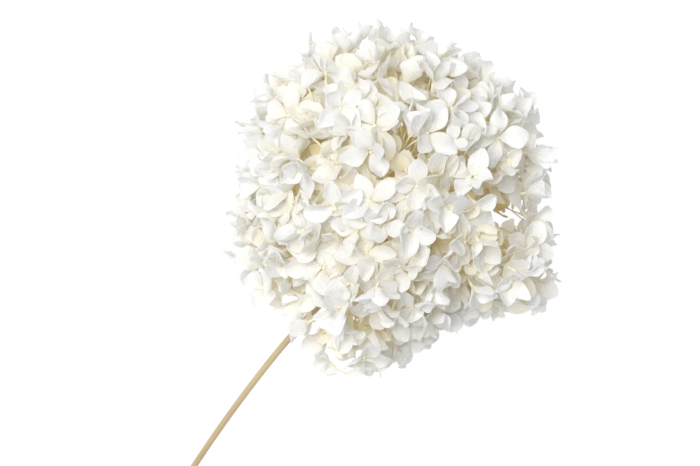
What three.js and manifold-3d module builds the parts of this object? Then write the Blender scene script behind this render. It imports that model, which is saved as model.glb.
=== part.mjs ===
// A dried mophead hydrangea, cut with one long stem and lying on its side.
// Millimetres. +Z is up, +X runs from the cut end of the stem to the crown of the head.
// The origin is on the table, under the centre of the object's bounding box.
//
// The stem ends in a knuckle inside the head. Rays fan out from the knuckle, each ray ends in a
// knuckle of its own, and clusters start round that: a branchlet, a small knot, and from the knot
// one pedicel for each floret. The florets stand in three staggered layers round a globe, so that
// neighbours lie over and under each other without touching.

import * as THREE from "three";
import { mergeVertices } from "three/addons/utils/BufferGeometryUtils.js";
import Module from "manifold-3d";

const wasm = await Module();
wasm.setup();

const radians = THREE.MathUtils.degToRad;

// Head
const HEAD_RADIUS = 87; // centre of the head to the face of an outer floret
const HEAD_HEIGHT = 79; // centre of the head above the table, with the underside pressed flat
const LEAN = radians(12); // the crown points this far above the horizontal
const NECK_ANGLE = radians(150); // florets stop this far from the crown, round the stem
const FLORET_PLACES = 268;
const CLUSTER_COUNT = 48;
const RAY_COUNT = 8;
const GOLDEN_ANGLE = Math.PI * (3 - Math.sqrt(5));

// Swellings and hollows of the globe's rim: bearing from the crown in the level plane, half width,
// and the share by which the radius grows there.
const LOBES = [
  { bearing: -162, width: 18, grow: 0.09 },
  { bearing: -141, width: 9, grow: -0.07 },
  { bearing: -115, width: 20, grow: -0.28 },
  { bearing: -84, width: 14, grow: 0.09 },
  { bearing: -50, width: 26, grow: -0.14 },
  { bearing: 0, width: 12, grow: -0.07 },
  { bearing: 75, width: 32, grow: 0.08 },
  { bearing: 112, width: 24, grow: -0.07 },
  { bearing: 158, width: 10, grow: 0.06 },
];
// Dents in the upper side, seen from above: place against the centre, half width and depth.
const DENTS = [
  { x: 24, y: 17, width: 11, depth: 9 },
  { x: 39, y: -32, width: 11, depth: 9 },
];
// Gaps right through the cover of florets, seen from above, and the half width left free.
const GAPS = [{ x: 31.5, y: -50, width: 5 }];

// Layers of florets
const LAYER_DEPTHS = [0, 6.5, 13];
const LEVEL_GAP = 4; // florets nearer in depth than this stay clear of each other sideways

// Floret: a flat rosette of four sepals, highest in the middle
const FLORET_RADIUS = 12.5;
const FLORET_DOME = 1.3;
const SEPAL_COUNT = 4;
const RIM_POINTS = 3 * SEPAL_COUNT; // two shoulders and one notch for each sepal
const NOTCH_SHARE = 0.5; // notch radius against the sepal's
const SHOULDER_TURN = radians(3); // shoulders drawn together from an even spacing
const FLORET_CLEARANCE = 0.5;

// Stalks
const PEDICEL_RADIUS = 0.55;
const PEDICEL_SIDES = 3;
const KNOT_SHARE = 0.56; // the knot's distance from the centre against the head's radius there
const KNOT_RADIUS = 2.8;
const BRANCHLET_RADIUS = 0.8;
const BRANCHLET_SIDES = 5;
const RAY_REACH = 22; // centre of the head to a ray's knuckle
const RAY_ROOT_RADIUS = 1.5;
const RAY_RADIUS = 1.3;
const RAY_SIDES = 7;
const RAY_KNUCKLE_RADIUS = 3;
const HUB_BEHIND = 14; // the stem's knuckle is this far behind the head's centre
const HUB_RADIUS = 4.4;
const JOIN_GAP = 0.4; // between pieces that meet

// Twig: a thin stalk that hangs free beside the stem, its path against the head's centre
const TWIG_PATH = [
  [-66, -45, 0],
  [-84.6, -42.9, 0],
  [-90.9, -36.4, 1],
  [-92.4, -29.5, 1],
  [-91.4, -24.5, 0],
];
const TWIG_RADIUS = 0.6;
const TWIG_SIDES = 6;
const TWIG_STEPS = 16;

// Stem
const STEM_RADIUS = 1.9;
const STEM_REACH = 325; // head's centre to the cut end, along X
const STEM_BOW_AT = -116; // X at which the stem is furthest to the side, towards +Y
const STEM_BOW_REACH = 1.1; // how far to the side it is there
const STEM_BOW_INSIDE = 0.0011; // sideways bow from there to the knuckle, 1 / mm
const STEM_BOW_OUTSIDE = 0.0006; // and from there to the cut end
const STEM_SIDES = 10;
const STEM_STEPS = 26;

// Underside
const SETTLE_SOFTNESS = 4; // height over which the underside turns flat
const SETTLE_GIVE = 0.08; // what is left of the height below the table's level

const WHITE_SEPAL = new THREE.MeshStandardMaterial({ color: 0xf6f4ee, roughness: 0.75, metalness: 0 });
const PALE_STALK = new THREE.MeshStandardMaterial({ color: 0xe3d2a0, roughness: 0.7, metalness: 0 });
const TAN_STEM = new THREE.MeshStandardMaterial({ color: 0xcdb68a, roughness: 0.55, metalness: 0 });

const CENTRE = new THREE.Vector3(0, 0, HEAD_HEIGHT);
const CROWN = new THREE.Vector3(Math.cos(LEAN), 0, Math.sin(LEAN));
const SIDE = new THREE.Vector3(0, 1, 0);
const UPPER = new THREE.Vector3().crossVectors(CROWN, SIDE);

// A repeatable number from 0 to 1 for each seed.
function chance(seed) {
  const s = Math.sin(seed * 12.9898 + 78.233) * 43758.5453;
  return s - Math.floor(s);
}

// Directions spread evenly over the globe, from the crown down to the neck.
function evenDirections(count) {
  return Array.from({ length: count }, (_, i) => {
    const along = 1 - ((i + 0.5) / count) * (1 - Math.cos(NECK_ANGLE));
    const across = Math.sqrt(1 - along * along);
    const turn = i * GOLDEN_ANGLE;
    return new THREE.Vector3()
      .addScaledVector(CROWN, along)
      .addScaledVector(SIDE, across * Math.cos(turn))
      .addScaledVector(UPPER, across * Math.sin(turn));
  });
}

// The head's radius in a direction.
function headRadius(direction) {
  const level = Math.hypot(direction.x, direction.y);
  const bearing = THREE.MathUtils.radToDeg(Math.atan2(direction.y, direction.x));
  let share = 1;
  for (const lobe of LOBES) {
    const turn = THREE.MathUtils.euclideanModulo(bearing - lobe.bearing + 180, 360) - 180;
    share += lobe.grow * level * Math.exp(-((turn / lobe.width) ** 2));
  }
  let radius = HEAD_RADIUS * share;
  for (const dent of DENTS) {
    const away = Math.hypot(direction.x * HEAD_RADIUS - dent.x, direction.y * HEAD_RADIUS - dent.y);
    if (direction.z > 0) radius -= dent.depth * Math.exp(-((away / dent.width) ** 2));
  }
  return radius;
}

function inGap(point) {
  return GAPS.some((gap) =>
    Math.hypot(point.x - gap.x, point.y - gap.y) < gap.width + FLORET_RADIUS);
}

// The layer whose nearest floret so far is furthest away.
function roomiestLayer(direction, placed) {
  const rooms = LAYER_DEPTHS.map((_, layer) =>
    Math.min(Math.PI, ...placed.filter((f) => f.layer === layer).map((f) => f.direction.angleTo(direction))));
  return rooms.indexOf(Math.max(...rooms));
}

// Every floret's direction, layer and place, and the widest rosette that fits there.
function planFlorets() {
  const florets = [];
  for (const direction of evenDirections(FLORET_PLACES)) {
    const reach = headRadius(direction);
    if (inGap(direction.clone().multiplyScalar(reach))) continue;
    const layer = roomiestLayer(direction, florets);
    const distance = reach - LAYER_DEPTHS[layer];
    const place = CENTRE.clone().addScaledVector(direction, distance);
    florets.push({ direction, layer, distance, place });
  }
  for (const floret of florets) {
    const nearest = Math.min(...florets
      .filter((other) => other !== floret && Math.abs(other.distance - floret.distance) < LEVEL_GAP)
      .map((other) => other.place.distanceTo(floret.place)));
    floret.radius = Math.min(FLORET_RADIUS, nearest / 2 - FLORET_CLEARANCE);
  }
  return florets;
}

function nearestIndex(direction, others) {
  const angles = others.map((other) => other.angleTo(direction));
  return angles.indexOf(Math.min(...angles));
}

// A closed geometry as a solid for joining.
function solidOf(geometry) {
  const bare = geometry.clone();
  bare.deleteAttribute("normal");
  bare.deleteAttribute("uv");
  const merged = mergeVertices(bare, 1e-4);
  return new wasm.Manifold(new wasm.Mesh({
    numProp: 3,
    vertProperties: merged.getAttribute("position").array,
    triVerts: new Uint32Array(merged.index.array),
  }));
}

function geometryOf(solid) {
  const mesh = solid.getMesh();
  return new THREE.BufferGeometry()
    .setAttribute("position", new THREE.BufferAttribute(mesh.vertProperties, 3))
    .setIndex(new THREE.BufferAttribute(mesh.triVerts, 1));
}

function joined(geometries) {
  return geometryOf(geometries.map(solidOf).reduce((whole, piece) => whole.add(piece)));
}

// A straight stalk from one point to another.
function stalk(from, to, startRadius, endRadius, sides) {
  const run = new THREE.Vector3().subVectors(to, from);
  const turn = new THREE.Quaternion().setFromUnitVectors(new THREE.Vector3(0, 1, 0), run.clone().normalize());
  return new THREE.CylinderGeometry(endRadius, startRadius, run.length(), sides, 1)
    .translate(0, run.length() / 2, 0)
    .applyQuaternion(turn)
    .translate(from.x, from.y, from.z);
}

// A low cone round +Y whose rim is drawn in between the sepals.
function rosette(radius) {
  const geometry = new THREE.ConeGeometry(radius, FLORET_DOME, RIM_POINTS, 1);
  const position = geometry.getAttribute("position");
  for (let i = 0; i < position.count; i += 1) {
    const x = position.getX(i);
    const z = position.getZ(i);
    if (Math.hypot(x, z) < radius / 2) continue;
    const turn = Math.atan2(x, z);
    const kind = THREE.MathUtils.euclideanModulo(Math.round((turn / (2 * Math.PI)) * RIM_POINTS), 3);
    const reach = kind === 0 ? radius * NOTCH_SHARE : radius;
    const drawn = turn + (kind === 1 ? SHOULDER_TURN : kind === 2 ? -SHOULDER_TURN : 0);
    position.setXYZ(i, reach * Math.sin(drawn), position.getY(i), reach * Math.cos(drawn));
  }
  return geometry;
}

// A rosette on its pedicel, joined while the rosette lies flat so that its underside stays one plane.
function floretOnPedicel(floret, index, knot) {
  const up = new THREE.Vector3(0, 1, 0);
  const spin = new THREE.Quaternion().setFromAxisAngle(up, chance(index) * 2 * Math.PI);
  const turn = new THREE.Quaternion().setFromUnitVectors(up, floret.direction).multiply(spin);
  const flatKnot = knot.clone().sub(floret.place).applyQuaternion(turn.clone().invert());
  const top = new THREE.Vector3(0, -FLORET_DOME / 4, 0);
  const pedicel = stalk(flatKnot, top, PEDICEL_RADIUS, PEDICEL_RADIUS, PEDICEL_SIDES);
  return joined([rosette(floret.radius), pedicel])
    .applyQuaternion(turn)
    .translate(floret.place.x, floret.place.y, floret.place.z);
}

// The height at which a point rests once the underside is pressed on the table.
function settled(z) {
  const pressed = SETTLE_SOFTNESS * Math.log1p(Math.exp(z / SETTLE_SOFTNESS));
  return pressed * (1 - SETTLE_GIVE) + z * SETTLE_GIVE;
}

// A mesh with its own origin at a point of the head, its underside pressed on the table.
function restingMesh(name, geometry, origin, material) {
  const position = geometry.getAttribute("position");
  for (let i = 0; i < position.count; i += 1) position.setZ(i, settled(position.getZ(i)));
  geometry.translate(-origin.x, -origin.y, -origin.z);
  geometry.computeVertexNormals();
  const mesh = new THREE.Mesh(geometry, material);
  mesh.name = name;
  mesh.position.copy(origin);
  return mesh;
}

// One cluster: its branchlet, knot, pedicels and rosettes, grown as one piece.
function cluster(name, members, knot, root) {
  const start = root.clone().addScaledVector(
    new THREE.Vector3().subVectors(knot, root).normalize(), RAY_KNUCKLE_RADIUS + JOIN_GAP);
  const pieces = [
    stalk(start, knot, BRANCHLET_RADIUS, BRANCHLET_RADIUS, BRANCHLET_SIDES),
    new THREE.OctahedronGeometry(KNOT_RADIUS).translate(knot.x, knot.y, knot.z),
  ];
  for (const { floret, index } of members) {
    pieces.push(floretOnPedicel(floret, index, knot));
  }
  return restingMesh(name, joined(pieces), knot, WHITE_SEPAL);
}

function ray(name, hub, fork) {
  const start = hub.clone().addScaledVector(
    new THREE.Vector3().subVectors(fork, hub).normalize(), HUB_RADIUS + JOIN_GAP);
  const pieces = [
    stalk(start, fork, RAY_ROOT_RADIUS, RAY_RADIUS, RAY_SIDES),
    new THREE.IcosahedronGeometry(RAY_KNUCKLE_RADIUS, 0).translate(fork.x, fork.y, fork.z),
  ];
  return restingMesh(name, joined(pieces), fork, PALE_STALK);
}

// How far to the side the stem runs at a distance along X from the head's centre.
function stemBow(x) {
  const bow = x > STEM_BOW_AT ? STEM_BOW_INSIDE : STEM_BOW_OUTSIDE;
  return STEM_BOW_REACH - bow * (x - STEM_BOW_AT) ** 2;
}

// The stem's centre line: bowed sideways, and sagging from the knuckle to the table.
function stemPoint(hub, share) {
  const x = THREE.MathUtils.lerp(hub.x, -STEM_REACH, share);
  const straight = THREE.MathUtils.lerp(hub.z, STEM_RADIUS, share);
  const sagHeight = (hub.z - STEM_RADIUS) - (STEM_REACH + hub.x) * Math.tan(LEAN);
  return new THREE.Vector3(x, stemBow(x), straight + sagHeight * share * (1 - share));
}

function stem(hub) {
  const points = [0, 0.15, 0.3, 0.5, 0.75, 1].map((share) => stemPoint(hub, share));
  const section = new THREE.Shape().absarc(0, 0, STEM_RADIUS, 0, 2 * Math.PI);
  const shaft = new THREE.ExtrudeGeometry(section, {
    steps: STEM_STEPS,
    curveSegments: STEM_SIDES / 2,
    bevelEnabled: false,
    extrudePath: new THREE.CatmullRomCurve3(points),
  });
  const top = new THREE.IcosahedronGeometry(HUB_RADIUS, 1).translate(hub.x, hub.y, hub.z);
  const geometry = joined([shaft, top]);
  geometry.translate(-hub.x, -hub.y, -hub.z);
  geometry.computeVertexNormals();
  const mesh = new THREE.Mesh(geometry, TAN_STEM);
  mesh.name = "stem";
  mesh.position.copy(hub);
  return mesh;
}

function twig() {
  const points = TWIG_PATH.map(([x, y, z]) => new THREE.Vector3(x, y, z).add(CENTRE));
  const section = new THREE.Shape().absarc(0, 0, TWIG_RADIUS, 0, 2 * Math.PI);
  const geometry = new THREE.ExtrudeGeometry(section, {
    steps: TWIG_STEPS,
    curveSegments: TWIG_SIDES / 2,
    bevelEnabled: false,
    extrudePath: new THREE.CatmullRomCurve3(points),
  });
  return restingMesh("twig", joined([geometry]), points[0], PALE_STALK);
}

// The whole flower, moved so that its box stands on the origin.
function hydrangea() {
  const florets = planFlorets();
  const clusterDirections = evenDirections(CLUSTER_COUNT);
  const rayDirections = evenDirections(RAY_COUNT);
  const hub = CENTRE.clone().addScaledVector(CROWN, -HUB_BEHIND);
  hub.y = stemBow(hub.x);
  const forks = rayDirections.map((d) => CENTRE.clone().addScaledVector(d, RAY_REACH));

  const flower = new THREE.Group();
  flower.add(stem(hub));
  flower.add(twig());
  forks.forEach((fork, i) => flower.add(ray(`ray_${i + 1}`, hub, fork)));
  clusterDirections.forEach((direction, i) => {
    const members = florets
      .map((floret, index) => ({ floret, index }))
      .filter(({ floret }) => nearestIndex(floret.direction, clusterDirections) === i);
    if (!members.length) return;
    const knot = CENTRE.clone().addScaledVector(direction, headRadius(direction) * KNOT_SHARE);
    const root = forks[nearestIndex(direction, rayDirections)];
    flower.add(cluster(`cluster_${String(i + 1).padStart(2, "0")}`, members, knot, root));
  });

  const box = new THREE.Box3().setFromObject(flower, true);
  const middle = box.getCenter(new THREE.Vector3());
  flower.position.set(-middle.x, -middle.y, -box.min.z);
  return flower;
}

export default hydrangea();
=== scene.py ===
"""A dried white mophead hydrangea lying on a pale table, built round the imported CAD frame.

Metres. +X runs from the cut end of the stem to the crown of the head, +Z is up.
The head repeats the CAD layout: florets in staggered layers round a globe, gathered into clusters.
Each cluster gets real curved sepals, a bud in the middle of every floret, and thin bent stalks.
"""

import math

import bmesh
import bpy
from mathutils import Matrix, Quaternion, Vector, noise


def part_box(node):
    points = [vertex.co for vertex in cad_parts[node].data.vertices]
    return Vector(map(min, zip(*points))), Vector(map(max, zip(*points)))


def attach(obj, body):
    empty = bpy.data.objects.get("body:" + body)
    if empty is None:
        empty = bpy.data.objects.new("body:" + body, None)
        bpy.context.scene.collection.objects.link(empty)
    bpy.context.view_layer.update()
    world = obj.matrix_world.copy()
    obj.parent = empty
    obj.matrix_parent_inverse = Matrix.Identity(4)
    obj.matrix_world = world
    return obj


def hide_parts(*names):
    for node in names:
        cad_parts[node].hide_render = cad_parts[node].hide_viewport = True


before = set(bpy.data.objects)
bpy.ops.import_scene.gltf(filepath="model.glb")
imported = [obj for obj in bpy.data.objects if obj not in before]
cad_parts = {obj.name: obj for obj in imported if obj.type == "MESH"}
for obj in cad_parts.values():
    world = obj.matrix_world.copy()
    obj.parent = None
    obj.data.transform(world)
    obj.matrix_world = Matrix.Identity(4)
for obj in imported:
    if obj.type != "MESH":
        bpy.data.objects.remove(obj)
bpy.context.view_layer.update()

MM = 0.001

# The head's layout, as in the CAD model
HEAD_RADIUS = 87 * MM
HEAD_HEIGHT = 79 * MM
LEAN = math.radians(12)
NECK_ANGLE = math.radians(150)
FLORET_PLACES = 268
CLUSTER_COUNT = 48
RAY_COUNT = 8
GOLDEN_ANGLE = math.pi * (3 - math.sqrt(5))
# bearing of a swelling from the crown in the level plane, its half width, share of growth
LOBES = [
    (-162, 18, 0.09), (-141, 9, -0.07), (-115, 20, -0.28), (-84, 14, 0.09), (-50, 26, -0.14),
    (0, 12, -0.07), (75, 32, 0.08), (112, 24, -0.07), (158, 10, 0.06),
]
# dents in the upper side, seen from above: place against the centre, half width, depth
DENTS = [(24 * MM, 17 * MM, 11 * MM, 9 * MM), (39 * MM, -32 * MM, 11 * MM, 9 * MM)]
# gaps right through the cover: place against the centre, half width left free
GAPS = [(31.5 * MM, -50 * MM, 5 * MM)]
GAP_MARGIN = 12.5 * MM
RIM_GAP_MARGIN = 5 * MM  # florets at the rim stand across the gap's wall, so they may come nearer
DENT_FLOOR = 14 * MM
LAYER_DEPTHS = [0, 6.5 * MM, 13 * MM]
KNOT_SHARE = 0.56
KNOT_RADIUS = 1.5 * MM
RAY_REACH = 22 * MM
RAY_KNUCKLE_RADIUS = 3 * MM
KNUCKLE_SPREAD = 0.8507  # how far a twenty-faced knuckle reaches along each axis, against its radius
HUB_BEHIND = 14 * MM
STEM_REACH = 325 * MM
STEM_RADIUS = 1.9 * MM
STEM_BOW_AT = -116 * MM
STEM_BOW_REACH = 1.1 * MM
STEM_BOW_INSIDE = 0.0011 / MM
STEM_BOW_OUTSIDE = 0.0006 / MM
STEM_STEPS = 90
STEM_SIDES = 24
BARK_THICKNESS = 0.3 * MM
WOOD_THICKNESS = 0.75 * MM
PITH_EDGE = 0.15 * MM
PITH_DEPTH = 0.5 * MM
HUB_RADIUS = 3.6 * MM
# a thin stalk that hangs free beside the stem: its path against the head's centre, millimetres
TWIG_PATH = [(-66, -45, 0), (-84.6, -42.9, 0), (-90.9, -36.4, 1), (-92.4, -29.5, 1), (-91.4, -24.5, 0)]
SETTLE_SOFTNESS = 4 * MM
SETTLE_GIVE = 0.08
TABLE_CLEARANCE = 0.3 * MM

CROWN = Vector((math.cos(LEAN), 0, math.sin(LEAN)))
SIDE = Vector((0, 1, 0))
UPPER = CROWN.cross(SIDE)

# Sepals
SEPAL_LENGTH = 14.2 * MM
SEPAL_THICKNESS = 0.22 * MM
LONGEST_CORNER = 3.2 * MM  # a corner further than this from its neighbours' middle is a spike
TABLE_GAP = 0.05 * MM  # nothing of a sepal lies lower than this
FIVE_SEPAL_SHARE = 0.08
FLORET_LEAN = 0.9
SEPAL_ACROSS = 4
SEPAL_ALONG = 6
FILLING_PLACES = 520
FILLING_SHALLOWEST = 2.5 * MM
FILLING_DEEPEST = 27 * MM
FILLING_CROWDING = 1.6  # above 1, more of the filling lies near the surface
RIM_STARTS = 0.75  # the level share of a direction from which a floret belongs to the rim


def chance(seed):
    """A repeatable number from 0 to 1 for each seed."""
    s = math.sin(seed * 12.9898 + 78.233) * 43758.5453
    return s - math.floor(s)


def between(low, high, seed):
    return low + (high - low) * chance(seed)


def even_directions(count, shift=0.0):
    """Directions spread evenly over the globe, from the crown down to the neck."""
    directions = []
    for i in range(count):
        along = 1 - ((i + 0.5) / count) * (1 - math.cos(NECK_ANGLE))
        across = math.sqrt(1 - along * along)
        turn = i * GOLDEN_ANGLE + shift
        sideways = SIDE * (across * math.cos(turn))
        directions.append(CROWN * along + sideways + UPPER * (across * math.sin(turn)))
    return directions


def head_radius(direction):
    level = math.hypot(direction.x, direction.y)
    bearing = math.degrees(math.atan2(direction.y, direction.x))
    share = 1
    for middle, width, grow in LOBES:
        turn = (bearing - middle + 180) % 360 - 180
        share += grow * level * math.exp(-((turn / width) ** 2))
    radius = HEAD_RADIUS * share
    for x, y, width, depth in DENTS:
        away = math.hypot(direction.x * HEAD_RADIUS - x, direction.y * HEAD_RADIUS - y)
        if direction.z > 0:
            radius -= depth * math.exp(-((away / width) ** 2))
    return radius


def in_gap(point, margin=GAP_MARGIN):
    return any(math.hypot(point.x - x, point.y - y) < width + margin for x, y, width in GAPS)


def in_dent(direction, depth):
    """Whether a floret would close one of the hollows of the upper side."""
    if direction.z < 0 or depth > DENT_FLOOR:
        return False
    return any(
        math.hypot(direction.x * HEAD_RADIUS - x, direction.y * HEAD_RADIUS - y) < width
        for x, y, width, _ in DENTS
    )


def roomiest_layer(direction, placed):
    rooms = [
        min([math.pi] + [f["direction"].angle(direction) for f in placed if f["layer"] == layer])
        for layer in range(len(LAYER_DEPTHS))
    ]
    return rooms.index(max(rooms))


def plan_florets():
    florets = []
    for direction in even_directions(FLORET_PLACES):
        reach = head_radius(direction)
        if in_gap(direction * reach):
            continue
        layer = roomiest_layer(direction, florets)
        depth = LAYER_DEPTHS[layer]
        offset = direction * (reach - depth)
        florets.append({"direction": direction, "layer": layer, "depth": depth, "offset": offset})
    return florets


def plan_filling_florets():
    """Florets between and under the others, which fill the head."""
    filling = []
    for i, direction in enumerate(even_directions(FILLING_PLACES, shift=1.3)):
        reach = head_radius(direction)
        sunk = chance(i + 0.77) ** FILLING_CROWDING
        depth = FILLING_SHALLOWEST + (FILLING_DEEPEST - FILLING_SHALLOWEST) * sunk
        rim = max(0, (math.hypot(direction.x, direction.y) - RIM_STARTS) / (1 - RIM_STARTS))
        margin = GAP_MARGIN + (RIM_GAP_MARGIN - GAP_MARGIN) * rim
        if in_gap(direction * (reach - depth), margin) or in_dent(direction, depth):
            continue
        filling.append({"direction": direction, "depth": depth, "offset": direction * (reach - depth)})
    return filling


def nearest_index(direction, others):
    angles = [other.angle(direction) for other in others]
    return angles.index(min(angles))


RAY_DIRECTIONS = even_directions(RAY_COUNT)
CLUSTER_DIRECTIONS = even_directions(CLUSTER_COUNT)
# The upper corner of the first ray's box touches its knuckle on all three sides.
HEAD_CENTRE = (
    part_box("ray_1")[1]
    - Vector((1, 1, 1)) * (KNUCKLE_SPREAD * RAY_KNUCKLE_RADIUS)
    - RAY_DIRECTIONS[0] * RAY_REACH
)
TABLE_LEVEL = HEAD_CENTRE.z - HEAD_HEIGHT


def stem_bow(x):
    """How far to the side the stem runs at a distance along X from the head's centre."""
    bow = STEM_BOW_INSIDE if x > STEM_BOW_AT else STEM_BOW_OUTSIDE
    return STEM_BOW_REACH - bow * (x - STEM_BOW_AT) ** 2


HUB_OFFSET = CROWN * -HUB_BEHIND
HUB = HEAD_CENTRE + HUB_OFFSET + SIDE * stem_bow(HUB_OFFSET.x)
FORKS = [HEAD_CENTRE + d * RAY_REACH for d in RAY_DIRECTIONS]


def settled(z):
    """The height at which a point of the head rests once its underside is pressed on the table."""
    free = z - TABLE_LEVEL
    if free > 12 * SETTLE_SOFTNESS:
        return z
    pressed = SETTLE_SOFTNESS * math.log1p(math.exp(free / SETTLE_SOFTNESS))
    return max(TABLE_LEVEL + pressed * (1 - SETTLE_GIVE) + free * SETTLE_GIVE, TABLE_CLEARANCE)


# ---------------------------------------------------------------- shapes


def sepal_point(s, t, form):
    """Where a point of the flat unit grid lies on a sepal that grows along +Y from the origin, face up."""
    x = s * math.sqrt(1 - t * t / 2)
    y = t * math.sqrt(1 - s * s / 2)
    rim = min(1.0, math.hypot(x, y))
    along = (y + 1) / 2
    width = form["width"] * (form["claw"] + (1 - form["claw"]) * math.sin(min(along * 1.5, 1) * math.pi / 2))
    side = x * width / 2
    length = form["length"] * along * (1 + form["point"] * (1 - abs(x)) * along)
    bend = form["curl"] * along
    rise = form["cup"] * abs(side) * abs(side) / form["width"]
    rise += form["fold"] * abs(side) * (1 - 0.5 * along)
    rise += form["ruffle"] * form["width"] * rim ** 3 * math.sin(form["phase"] + 3.1 * math.atan2(x, y))
    crease = noise.noise(Vector((x * 1.6 + form["phase"] * 9, y * 1.3, form["phase"])))
    rise += form["crumple"] * form["width"] * crease
    twist = form["twist"] * along
    across = side * math.cos(twist) - rise * math.sin(twist)
    lift = side * math.sin(twist) + rise * math.cos(twist)
    return Vector((
        across,
        length * math.cos(bend / 2) - lift * math.sin(bend),
        length * math.sin(bend / 2) + lift * math.cos(bend),
    ))


def sepal_form(seed, size):
    """How one sepal of a floret is grown and dried."""
    length = size * between(0.88, 1.1, seed + 0.11)
    return {
        "length": length,
        "width": length * between(0.6, 0.9, seed + 0.23),
        "claw": between(0.34, 0.5, seed + 0.31),
        "point": between(-0.02, 0.14, seed + 0.37),
        "curl": between(-0.8, 0.9, seed + 0.41),
        "cup": between(-0.6, 2.0, seed + 0.53),
        "fold": between(-0.15, 0.35, seed + 0.59),
        "ruffle": between(0.03, 0.12, seed + 0.61),
        "phase": between(0, 2 * math.pi, seed + 0.67),
        "crumple": between(0.08, 0.24, seed + 0.71),
        "twist": between(-0.5, 0.5, seed + 0.79),
    }


def floret_turn(direction, seed, spread):
    """A floret faces away from the head, leaning a little its own way."""
    facing = direction.to_track_quat("Z", "Y")
    lean_axis = Vector((math.cos(seed * 7.1), math.sin(seed * 7.1), 0))
    lean = Quaternion(lean_axis, spread * math.sqrt(chance(seed + 0.83)))
    return facing @ lean @ Quaternion((0, 0, 1), chance(seed) * 2 * math.pi)


def add_sepal(bm, matrix, form, cream_and_painted_glow, layers):
    grid = bmesh.ops.create_grid(bm, x_segments=SEPAL_ACROSS, y_segments=SEPAL_ALONG, size=1)["verts"]
    for vertex in grid:
        s, t = vertex.co.x, vertex.co.y
        vertex[layers["face"]] = Vector((s, t, 0))
        # Creamier towards the claw, added to the floret's value, which carries the painted depth glow.
        vertex[layers["cream_and_painted_glow"]] = min(1.0, cream_and_painted_glow + 0.36 * (1 - (t + 1) / 2) ** 2.5)
        vertex.co = matrix @ sepal_point(s, t, form)


def add_floret_sepals(bm, floret, seed, layers):
    size = SEPAL_LENGTH * between(0.8, 1.1, seed + 0.07)
    count = 5 if chance(seed + 0.19) < FIVE_SEPAL_SHARE else 4
    opening = between(-0.15, 1.15, seed + 0.29)
    # The deeper a floret sits in the head, the yellower its sepals: a painted warm glow in place of light
    # scattered through the petals deep inside; the small random part is the sepals' own tint.
    cream_and_painted_glow = (floret["depth"] / FILLING_DEEPEST) ** 1.3 * 0.95 + 0.06 * chance(seed + 0.43)
    turn = floret_turn(floret["direction"], seed, FLORET_LEAN)
    place = Matrix.Translation(HEAD_CENTRE + floret["offset"]) @ turn.to_matrix().to_4x4()
    for i in range(count):
        sepal_seed = seed * 5.3 + i * 1.7
        around = 2 * math.pi * i / count + between(-0.22, 0.22, sepal_seed)
        lift = opening + between(-0.4, 0.4, sepal_seed + 0.5)
        height = 0.35 * MM if i % 2 else 0
        claw = Matrix.Translation((0, 0.7 * MM, height)) @ Matrix.Rotation(lift, 4, "X")
        root = Matrix.Rotation(around, 4, "Z") @ claw
        add_sepal(bm, place @ root, sepal_form(sepal_seed, size), cream_and_painted_glow, layers)
    return turn


def sweep(bm, path, radii, sides, layer):
    """A closed round stalk along a path of points, grown from a circle by extruding its end."""
    ring = bmesh.ops.create_circle(bm, cap_ends=True, segments=sides, radius=1)["verts"]
    for vertex in ring:
        vertex[layer] = vertex.co.copy()
    end = ring[0].link_faces[0]
    lengthwise = 0.0
    previous = Matrix.Identity(4)
    for k, point in enumerate(path):
        ahead = path[min(k + 1, len(path) - 1)] - path[max(k - 1, 0)]
        turn = ahead.to_track_quat("Z", "Y").to_matrix().to_4x4()
        now = Matrix.Translation(point) @ turn @ Matrix.Scale(radii[k], 4)
        if k > 0:
            lengthwise += (point - path[k - 1]).length
            grown = bmesh.ops.extrude_face_region(bm, geom=[end])["geom"]
            end = next(g for g in grown if isinstance(g, bmesh.types.BMFace))
            for vertex in end.verts:
                vertex[layer] = Vector((vertex[layer].x, vertex[layer].y, lengthwise / MM))
        bmesh.ops.transform(bm, matrix=now @ previous.inverted(), verts=end.verts)
        previous = now
    return end


def bent_path(start, finish, sag, steps):
    """Points from start to finish, bowed by the vector sag in the middle."""
    return [start.lerp(finish, k / steps) + sag * math.sin(math.pi * k / steps) for k in range(steps + 1)]


def smooth_path(points, steps):
    """Points along a smooth curve through the given ones, with steps between neighbours."""
    path = []
    last = len(points) - 1
    for i in range(last):
        a, b, c, d = (points[min(max(k, 0), last)] for k in range(i - 1, i + 3))
        for k in range(steps):
            t = k / steps
            path.append(0.5 * (2 * b + (c - a) * t + (2 * a - 5 * b + 4 * c - d) * t * t
                               + (3 * b - a - 3 * c + d) * t ** 3))
    return path + [points[last]]


def finish_piece(name, bm, materials, replaced=()):
    """Makes the mesh a piece of the object, with its faces outward and its sharp edges kept."""
    bmesh.ops.recalc_face_normals(bm, faces=bm.faces)
    for edge in bm.edges:
        edge.smooth = edge.calc_face_angle(0.0) < math.radians(55)
    for face in bm.faces:
        face.smooth = True
    mesh = bpy.data.meshes.new(name)
    bm.to_mesh(mesh)
    bm.free()
    for material in materials:
        mesh.materials.append(material)
    piece = bpy.data.objects.new(name, mesh)
    bpy.context.scene.collection.objects.link(piece)
    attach(piece, "root")
    if replaced:
        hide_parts(*replaced)
    return piece


# ---------------------------------------------------------------- materials


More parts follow.
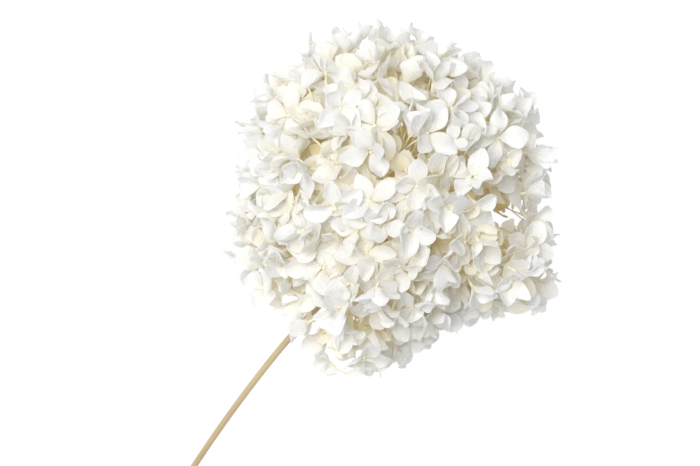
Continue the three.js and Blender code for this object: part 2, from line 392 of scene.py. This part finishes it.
class Finish:
    """A new node material, with short calls for its nodes and links."""

    def __init__(self, name):
        self.material = bpy.data.materials.new(name)
        self.material.use_nodes = True
        self.tree = self.material.node_tree
        self.tree.nodes.clear()

    def node(self, kind, inputs=None, **settings):
        made = self.tree.nodes.new(kind)
        for key, value in settings.items():
            setattr(made, key, value)
        for key, value in (inputs or {}).items():
            if isinstance(value, bpy.types.NodeSocket):
                self.tree.links.new(value, made.inputs[key])
            else:
                made.inputs[key].default_value = value
        return made

    def math(self, operation, a, b=0.0):
        return self.node("ShaderNodeMath", {0: a, 1: b}, operation=operation).outputs[0]

    def ramp(self, value, stops):
        made = self.node("ShaderNodeValToRGB", {"Fac": value})
        elements = made.color_ramp.elements
        while len(elements) < len(stops):
            elements.new(0.5)
        for element, (position, colour) in zip(elements, stops):
            element.position = position
            element.color = (*colour, 1)
        return made.outputs["Color"]

    def output(self, shader):
        self.node("ShaderNodeOutputMaterial", {"Surface": shader})
        return self.material


def sepal_finish():
    f = Finish("papery_sepal")
    place = f.node("ShaderNodeTexCoord").outputs["Object"]
    face = f.node("ShaderNodeAttribute", attribute_name="face").outputs["Vector"]
    cream_and_painted_glow = f.node("ShaderNodeAttribute", attribute_name="cream_and_painted_glow").outputs["Fac"]
    split = f.node("ShaderNodeSeparateXYZ", {"Vector": face})
    mottle = f.node("ShaderNodeTexNoise", {"Vector": place, "Scale": 260.0, "Detail": 3.0}).outputs["Fac"]
    crinkle = f.node("ShaderNodeTexNoise", {"Vector": place, "Scale": 620.0, "Detail": 4.0}).outputs["Fac"]
    # veins fan out from the claw to the edge
    wander = f.math("MULTIPLY", f.math("SUBTRACT", mottle, 0.5), 0.5)
    lane = f.math("MULTIPLY", f.math("ADD", split.outputs["X"], wander), 4.5)
    vein = f.math("POWER", f.math("PINGPONG", lane, 0.5), 0.5)
    # Both ramps turn yellow as the value rises: its depth part is a painted warm glow, in the face colour and
    # in the colour seen through the sepal; the mottle is the sepals' own uneven tone.
    tint_with_painted_glow = f.math("ADD", cream_and_painted_glow, f.math("MULTIPLY", f.math("SUBTRACT", mottle, 0.5), 0.25))
    colour = f.ramp(tint_with_painted_glow, [
        (0.08, (0.97, 0.972, 0.975)), (0.4, (0.975, 0.955, 0.86)), (1.0, (0.98, 0.87, 0.5))])
    glow = f.ramp(tint_with_painted_glow, [
        (0.08, (0.975, 0.975, 0.97)), (0.4, (0.98, 0.95, 0.82)), (1.0, (0.98, 0.87, 0.48))])
    relief = f.math("ADD", f.math("MULTIPLY", vein, 0.4), crinkle)
    bump = f.node("ShaderNodeBump", {"Height": relief, "Strength": 0.6, "Distance": 0.001})
    face_shader = f.node("ShaderNodeBsdfPrincipled", {
        "Base Color": colour, "Roughness": 0.62, "Specular IOR Level": 0.3, "Normal": bump.outputs["Normal"]})
    through = f.node("ShaderNodeBsdfTranslucent", {"Color": glow, "Normal": bump.outputs["Normal"]})
    return f.output(f.node("ShaderNodeMixShader", {
        "Fac": 0.55, 1: face_shader.outputs[0], 2: through.outputs[0]}).outputs[0])


def stalk_finish(name, pale, dark, roughness):
    """Thin stalks and buds: a pale straw colour that varies along them."""
    f = Finish(name)
    place = f.node("ShaderNodeTexCoord").outputs["Object"]
    patches = f.node("ShaderNodeTexNoise", {"Vector": place, "Scale": 180.0, "Detail": 3.0}).outputs["Fac"]
    grit = f.node("ShaderNodeTexNoise", {"Vector": place, "Scale": 1500.0, "Detail": 2.0}).outputs["Fac"]
    colour = f.ramp(patches, [(0.3, dark), (0.7, pale)])
    bump = f.node("ShaderNodeBump", {"Height": grit, "Strength": 0.3, "Distance": 0.0002})
    shader = f.node("ShaderNodeBsdfPrincipled", {
        "Base Color": colour, "Roughness": roughness, "Normal": bump.outputs["Normal"]})
    return f.output(shader.outputs[0])


def stem_finish():
    """Tan bark with fine fibres along it."""
    f = Finish("tan_stem")
    grain = f.node("ShaderNodeAttribute", attribute_name="grain").outputs["Vector"]
    stretched = f.node("ShaderNodeMapping", {"Vector": grain, "Scale": (3.0, 3.0, 0.05)}).outputs["Vector"]
    fibres = f.node("ShaderNodeTexNoise", {"Vector": stretched, "Scale": 2.4, "Detail": 5.0}).outputs["Fac"]
    slow = f.node("ShaderNodeMapping", {"Vector": grain, "Scale": (0.3, 0.3, 0.03)}).outputs["Vector"]
    tone = f.node("ShaderNodeTexNoise", {"Vector": slow, "Scale": 1.0, "Detail": 2.0}).outputs["Fac"]
    mixed = f.math("ADD", f.math("MULTIPLY", fibres, 0.6), f.math("MULTIPLY", tone, 0.4))
    colour = f.ramp(mixed, [
        (0.3, (0.28, 0.175, 0.06)), (0.5, (0.38, 0.255, 0.1)), (0.72, (0.5, 0.36, 0.17))])
    bump = f.node("ShaderNodeBump", {"Height": fibres, "Strength": 0.4, "Distance": 0.0002})
    shader = f.node("ShaderNodeBsdfPrincipled", {
        "Base Color": colour, "Roughness": 0.32, "Specular IOR Level": 0.6, "Normal": bump.outputs["Normal"]})
    return f.output(shader.outputs[0])


# ---------------------------------------------------------------- pieces


SEPAL = sepal_finish()
STALK = stalk_finish("straw_stalk", (0.96, 0.88, 0.56), (0.92, 0.78, 0.4), 0.6)
BUD = stalk_finish("cream_bud", (0.93, 0.85, 0.58), (0.84, 0.7, 0.38), 0.45)
STEM = stem_finish()


def detour(start, finish):
    """How far a stalk's middle is moved sideways, so that it doesn't cross a gap in the head."""
    moved = Vector((0, 0, 0))
    run = Vector((finish.x - start.x, finish.y - start.y, 0))
    for x, y, width in GAPS:
        middle = Vector((HEAD_CENTRE.x + x, HEAD_CENTRE.y + y, 0))
        across = Vector((-run.y, run.x, 0)).normalized()
        from_start = middle - Vector((start.x, start.y, 0))
        share = from_start.dot(run) / run.length_squared
        offset = from_start.dot(across)
        free = 1.6 * width
        if 0.1 < share < 1.1 and abs(offset) < free:
            reach = (free - abs(offset)) / max(math.sin(math.pi * min(share, 0.85)), 0.3)
            moved -= across * math.copysign(reach, offset)
    return moved


def settle(bm):
    for vertex in bm.verts:
        vertex.co.z = settled(vertex.co.z)


def tame(bm):
    """Draws in any corner that the thickness has pushed out of a tight fold, and clears the table."""
    for vertex in bm.verts:
        around = [edge.other_vert(vertex).co for edge in vertex.link_edges]
        middle = sum(around, Vector((0, 0, 0))) / len(around)
        if (vertex.co - middle).length > LONGEST_CORNER:
            vertex.co = middle
        vertex.co.z = max(vertex.co.z, TABLE_GAP)


def sepal_layers(bm):
    """What each point of a sepal carries: its place on the flat sepal, and how creamy it is, with a painted
    warm glow added to florets that sit deep in the head.
    """
    return {
        "face": bm.verts.layers.float_vector.new("face"),
        "cream_and_painted_glow": bm.verts.layers.float.new("cream_and_painted_glow"),
    }


def thicken(bm):
    bmesh.ops.recalc_face_normals(bm, faces=bm.faces)
    bmesh.ops.solidify(bm, geom=bm.faces[:], thickness=SEPAL_THICKNESS)
    tame(bm)


def make_cluster(name, florets, direction):
    """One cluster of florets: its sepals, its buds, and the stalks that carry them."""
    knot = HEAD_CENTRE + direction * (head_radius(direction) * KNOT_SHARE)
    fork = FORKS[nearest_index(direction, RAY_DIRECTIONS)]
    sepals, buds, stalks = bmesh.new(), bmesh.new(), bmesh.new()
    layers = sepal_layers(sepals)
    grain = stalks.verts.layers.float_vector.new("grain")
    sweep(stalks, bent_path(fork, knot, SIDE * (1.5 * MM), 4), [0.85 * MM] * 5, 6, grain)
    bmesh.ops.create_icosphere(stalks, subdivisions=2, radius=KNOT_RADIUS, matrix=Matrix.Translation(knot))
    for floret, seed in florets:
        turn = add_floret_sepals(sepals, floret, seed, layers)
        face = turn @ Vector((0, 0, 1))
        middle = HEAD_CENTRE + floret["offset"]
        bud = between(0.75, 1.15, seed + 0.9) * MM
        bead = Matrix.Translation(middle + face * bud * 0.8)
        bmesh.ops.create_icosphere(buds, subdivisions=1, radius=bud, matrix=bead)
        away = middle - knot
        wander = Vector([between(-1, 1, seed + part) for part in (0.13, 0.17, 0.27)])
        sag = (face * -0.14 + wander * 0.12) * away.length + detour(knot, middle)
        radii = [0.4 * MM, 0.32 * MM, 0.3 * MM, 0.32 * MM, 0.55 * MM]
        sweep(stalks, bent_path(knot, middle, sag, 4), radii, 5, grain)
    settle(sepals)
    thicken(sepals)
    settle(buds)
    settle(stalks)
    finish_piece(f"{name}_sepals", sepals, [SEPAL], [name])
    finish_piece(f"{name}_buds", buds, [BUD])
    finish_piece(f"{name}_stalks", stalks, [STALK])


def make_head():
    florets = plan_florets()
    members = [[] for _ in CLUSTER_DIRECTIONS]
    for index, floret in enumerate(florets):
        members[nearest_index(floret["direction"], CLUSTER_DIRECTIONS)].append((floret, index))
    for index, floret in enumerate(plan_filling_florets()):
        members[nearest_index(floret["direction"], CLUSTER_DIRECTIONS)].append((floret, 1000 + index))
    for i, direction in enumerate(CLUSTER_DIRECTIONS):
        if members[i]:
            make_cluster(f"cluster_{i + 1:02d}", members[i], direction)


def make_rays():
    for i, fork in enumerate(FORKS):
        bm = bmesh.new()
        grain = bm.verts.layers.float_vector.new("grain")
        radii = [1.6 * MM, 1.35 * MM, 1.25 * MM, 1.3 * MM, 1.6 * MM]
        sweep(bm, bent_path(HUB, fork, UPPER * (1.2 * MM), 4), radii, 10, grain)
        bmesh.ops.create_icosphere(bm, subdivisions=3, radius=2.4 * MM, matrix=Matrix.Translation(fork))
        finish_piece(f"ray_{i + 1}_branch", bm, [STALK], [f"ray_{i + 1}"])


def stem_point(share):
    """The stem's centre line: bowed sideways, and sagging from its knuckle to the table."""
    x = HUB_OFFSET.x + (-STEM_REACH - HUB_OFFSET.x) * share
    hub_height = HUB.z - TABLE_LEVEL
    straight = hub_height + (STEM_RADIUS - hub_height) * share
    sag = (hub_height - STEM_RADIUS) - (STEM_REACH + HUB_OFFSET.x) * math.tan(LEAN)
    height = straight + sag * share * (1 - share)
    return Vector((HEAD_CENTRE.x + x, HEAD_CENTRE.y + stem_bow(x), TABLE_LEVEL + height))


def make_twig():
    """The free stalk beside the stem, with a few small sepals at its tip."""
    bm = bmesh.new()
    grain = bm.verts.layers.float_vector.new("grain")
    path = smooth_path([HEAD_CENTRE + Vector(point) * MM for point in TWIG_PATH], 4)
    sweep(bm, path, [(0.62 - 0.2 * k / len(path)) * MM for k in range(len(path))], 8, grain)
    for k in (5, 9, 13):
        bmesh.ops.create_icosphere(bm, subdivisions=2, radius=0.72 * MM, matrix=Matrix.Translation(path[k]))
    finish_piece("twig_stalk", bm, [STALK], ["twig"])
    leaves = bmesh.new()
    layers = sepal_layers(leaves)
    tip = path[-1]
    for i, (x, y, z) in enumerate([(-0.9, 0.5, 0.1), (-0.2, 1, -0.3), (-0.7, -0.6, 0.3)]):
        turn = Vector((x, y, z)).to_track_quat("Y", "Z").to_matrix().to_4x4()
        add_sepal(leaves, Matrix.Translation(tip) @ turn, sepal_form(2000 + i * 3.1, 10 * MM), 0.05, layers)
    thicken(leaves)
    finish_piece("twig_sepals", leaves, [SEPAL])


def make_stem():
    bm = bmesh.new()
    grain = bm.verts.layers.float_vector.new("grain")
    shares = [k / STEM_STEPS for k in range(STEM_STEPS + 1)]
    path = [stem_point(share) for share in shares]
    radii = [STEM_RADIUS * (1.08 - 0.1 * math.sin(share * 2.2)) for share in shares]
    cut = sweep(bm, path, radii, STEM_SIDES, grain)
    # the cut end: bark round paler wood, with a small hollow of pith in the middle
    bmesh.ops.inset_region(bm, faces=[cut], thickness=BARK_THICKNESS, depth=0.0)
    wood = bmesh.ops.inset_region(bm, faces=[cut], thickness=WOOD_THICKNESS, depth=0.0)["faces"]
    hollow = bmesh.ops.inset_region(bm, faces=[cut], thickness=PITH_EDGE, depth=-PITH_DEPTH)["faces"]
    for face in wood + hollow + [cut]:
        face.material_index = 1
    bmesh.ops.create_icosphere(bm, subdivisions=3, radius=HUB_RADIUS, matrix=Matrix.Translation(HUB))
    finish_piece("stem_cane", bm, [STEM, BUD], ["stem"])


# ---------------------------------------------------------------- table, light, camera


# The head's crown points up and to the right in the view.
VIEW_TURN = math.radians(-51.7)
VIEW_RIGHT = Vector((math.cos(VIEW_TURN), math.sin(VIEW_TURN), 0))
VIEW_UP = Vector((-math.sin(VIEW_TURN), math.cos(VIEW_TURN), 0))
VIEW_WIDTH = 385 * MM
LENS = 100
SENSOR = 36


def make_table():
    bpy.ops.mesh.primitive_plane_add(size=6, location=(0, 0, 0))
    table = bpy.context.object
    table.name = "table"
    f = Finish("white_table")
    shader = f.node("ShaderNodeBsdfPrincipled", {
        "Base Color": (0.2, 0.2, 0.2, 1), "Roughness": 0.9, "Specular IOR Level": 0.1,
        "Emission Color": (1, 1, 1, 1), "Emission Strength": 0.93})
    table.data.materials.append(f.output(shader.outputs[0]))


def make_area_light(name, place, aim, size, power, colour):
    light = bpy.data.lights.new(name, "AREA")
    light.shape = "DISK"
    light.size = size
    light.energy = power
    light.color = colour
    lamp = bpy.data.objects.new(name, light)
    bpy.context.scene.collection.objects.link(lamp)
    lamp.location = place
    lamp.rotation_euler = (aim - place).to_track_quat("-Z", "Y").to_euler()


KEY_SIZE = 1.0
KEY_POWER = 32
ROOM_STRENGTH = 0.25


def make_lights():
    key_place = HEAD_CENTRE - VIEW_RIGHT * 0.5 + VIEW_UP * 0.25 + Vector((0, 0, 1.5))
    make_area_light("key", key_place, HEAD_CENTRE, KEY_SIZE, KEY_POWER, (1, 1, 1))
    world = bpy.data.worlds.new("soft_room")
    world.use_nodes = True
    world.node_tree.nodes["Background"].inputs["Color"].default_value = (0.97, 0.985, 1, 1)
    world.node_tree.nodes["Background"].inputs["Strength"].default_value = ROOM_STRENGTH
    bpy.context.scene.world = world
    scene = bpy.context.scene
    scene.view_settings.view_transform = "Standard"
    scene.view_settings.gamma = 1.6
    scene.cycles.max_bounces = 16
    scene.cycles.diffuse_bounces = 10


def make_camera():
    camera = bpy.data.cameras.new("camera")
    camera.lens = LENS
    camera.sensor_width = SENSOR
    holder = bpy.data.objects.new("camera", camera)
    bpy.context.scene.collection.objects.link(holder)
    aim = HEAD_CENTRE - VIEW_RIGHT * (26.4 * MM) - VIEW_UP * (16.5 * MM)
    holder.location = aim + Vector((0, 0, VIEW_WIDTH * LENS / SENSOR))
    holder.rotation_euler = (0, 0, VIEW_TURN)
    bpy.context.scene.camera = holder


make_camera()
make_head()
make_rays()
make_twig()
make_stem()
make_table()
make_lights()
